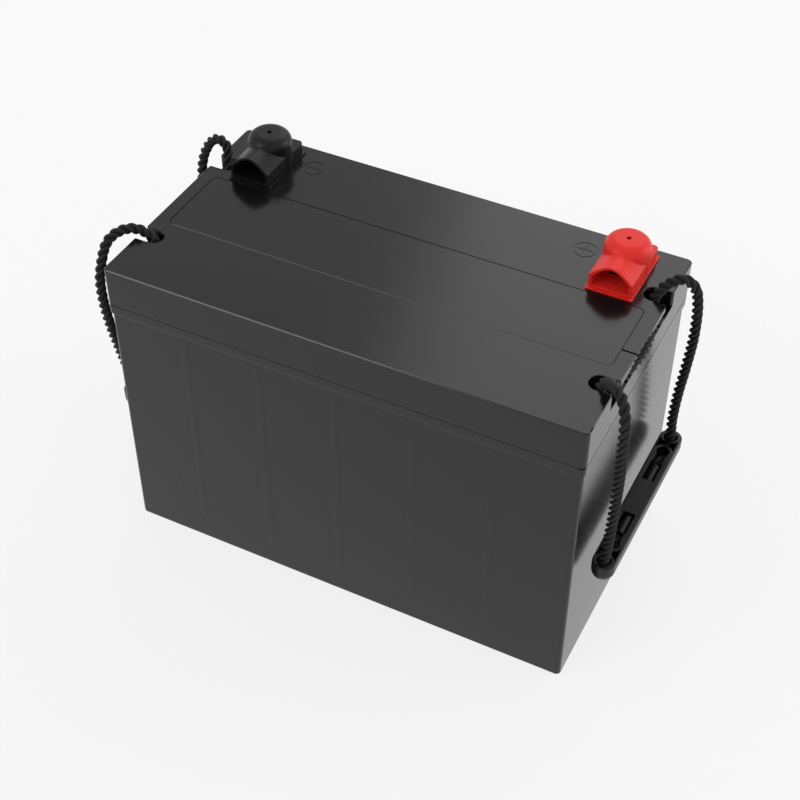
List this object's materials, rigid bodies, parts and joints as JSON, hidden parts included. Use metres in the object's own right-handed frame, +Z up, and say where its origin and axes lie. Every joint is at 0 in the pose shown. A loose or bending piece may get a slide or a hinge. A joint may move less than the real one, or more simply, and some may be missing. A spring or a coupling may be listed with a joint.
{
  "type": "deep cycle battery",
  "caption": "Sealed lead-acid leisure battery: ribbed black case, welded lid with vent cover, booted terminals and a rope handle at each end.",
  "frame": {"origin": "middle of the base, on the surface that the battery stands on", "axes": "+X along the long side towards the positive terminal's end, +Y towards the terminal side, +Z up"},
  "size_m": [0.3477, 0.168, 0.2342],
  "materials": {
    "case_plastic": "black moulded ABS, smooth satin gloss",
    "black_boot": "black soft PVC, satin",
    "red_boot": "red soft PVC, satin",
    "valve_rubber": "black moulded rubber, matt",
    "brass": "tin-brass insert, satin",
    "steel": "zinc-plated steel, satin",
    "lead": "dull grey lead and lead paste",
    "positive_paste": "brown lead dioxide paste on lead grid, matt",
    "glass_mat": "white absorbent glass fibre mat",
    "rope": "black three-strand twisted polypropylene rope",
    "grip_plastic": "black moulded polypropylene, satin"
  },
  "bodies": {
    "battery": {"case": "case_plastic", "lid": "case_plastic", "vent_valve_1": "valve_rubber", "cell_1_negative_plates": "lead", "cell_1_positive_plates": "positive_paste", "cell_1_separator": "glass_mat", "vent_valve_2": "valve_rubber", "cell_2_negative_plates": "lead", "cell_2_positive_plates": "positive_paste", "cell_2_separator": "glass_mat", "vent_valve_3": "valve_rubber", "cell_3_negative_plates": "lead", "cell_3_positive_plates": "positive_paste", "cell_3_separator": "glass_mat", "vent_valve_4": "valve_rubber", "cell_4_negative_plates": "lead", "cell_4_positive_plates": "positive_paste", "cell_4_separator": "glass_mat", "vent_valve_5": "valve_rubber", "cell_5_negative_plates": "lead", "cell_5_positive_plates": "positive_paste", "cell_5_separator": "glass_mat", "vent_valve_6": "valve_rubber", "cell_6_negative_plates": "lead", "cell_6_positive_plates": "positive_paste", "cell_6_separator": "glass_mat", "negative_terminal_bush": "brass", "negative_plain_washer": "steel", "negative_spring_washer": "steel", "negative_terminal_bolt": "steel", "positive_terminal_bush": "brass", "positive_plain_washer": "steel", "positive_spring_washer": "steel", "positive_terminal_bolt": "steel", "left_rope_through_lid": "rope", "right_rope_through_lid": "rope"},
    "negative_cover": {"negative_terminal_cover": "black_boot"},
    "positive_cover": {"positive_terminal_cover": "red_boot"},
    "vent_plate": {"vent_cover": "case_plastic"},
    "left_rope_inner": {"left_front_rope_rise": "rope", "left_back_rope_rise": "rope"},
    "left_rope_outer": {"left_front_rope_fall": "rope", "left_back_rope_fall": "rope"},
    "left_handle": {"left_grip": "grip_plastic", "left_front_rope_leg": "rope", "left_front_ferrule": "grip_plastic", "left_back_rope_leg": "rope", "left_back_ferrule": "grip_plastic"},
    "right_rope_inner": {"right_front_rope_rise": "rope", "right_back_rope_rise": "rope"},
    "right_rope_outer": {"right_front_rope_fall": "rope", "right_back_rope_fall": "rope"},
    "right_handle": {"right_grip": "grip_plastic", "right_front_rope_leg": "rope", "right_front_ferrule": "grip_plastic", "right_back_rope_leg": "rope", "right_back_ferrule": "grip_plastic"}
  },
  "joints": [
    {"name": "negative_cover_lift", "type": "slide", "parent": "battery", "child": "negative_cover", "axis": [0, 0, 1], "range_m": [0, 0.04]},
    {"name": "positive_cover_lift", "type": "slide", "parent": "battery", "child": "positive_cover", "axis": [0, 0, 1], "range_m": [0, 0.04]},
    {"name": "vent_cover_lift", "type": "slide", "parent": "battery", "child": "vent_plate", "axis": [0, 0, 1], "range_m": [0, 0.02]},
    {"name": "left_handle_swing", "type": "hinge", "parent": "battery", "child": "left_rope_inner", "pos_m": [-0.1481, 0, 0.212], "axis": [0, 1, 0], "range_deg": [0, 45]},
    {"name": "left_rope_middle_bend", "type": "hinge", "parent": "left_rope_inner", "child": "left_rope_outer", "pos_m": [-0.1585, 0, 0.2181], "axis": [0, 1, 0], "range_deg": [0, 96]},
    {"name": "left_rope_outer_bend", "type": "hinge", "parent": "left_rope_outer", "child": "left_handle", "pos_m": [-0.1691, 0, 0.2065], "axis": [0, 1, 0], "range_deg": [0, 39]},
    {"name": "right_handle_swing", "type": "hinge", "parent": "battery", "child": "right_rope_inner", "pos_m": [0.148, 0, 0.2133], "axis": [0, -1, 0], "range_deg": [0, 45]},
    {"name": "right_rope_middle_bend", "type": "hinge", "parent": "right_rope_inner", "child": "right_rope_outer", "pos_m": [0.16, 0, 0.2244], "axis": [0, -1, 0], "range_deg": [0, 96]},
    {"name": "right_rope_outer_bend", "type": "hinge", "parent": "right_rope_outer", "child": "right_handle", "pos_m": [0.1693, 0, 0.2087], "axis": [0, -1, 0], "range_deg": [0, 39]}
  ],
  "couplings": [
    {"joint": "left_rope_middle_bend", "follows": "left_handle_swing", "ratio": 2.1333},
    {"joint": "left_rope_outer_bend", "follows": "left_handle_swing", "ratio": 0.86667},
    {"joint": "right_rope_middle_bend", "follows": "right_handle_swing", "ratio": 2.1333},
    {"joint": "right_rope_outer_bend", "follows": "right_handle_swing", "ratio": 0.86667}
  ]
}
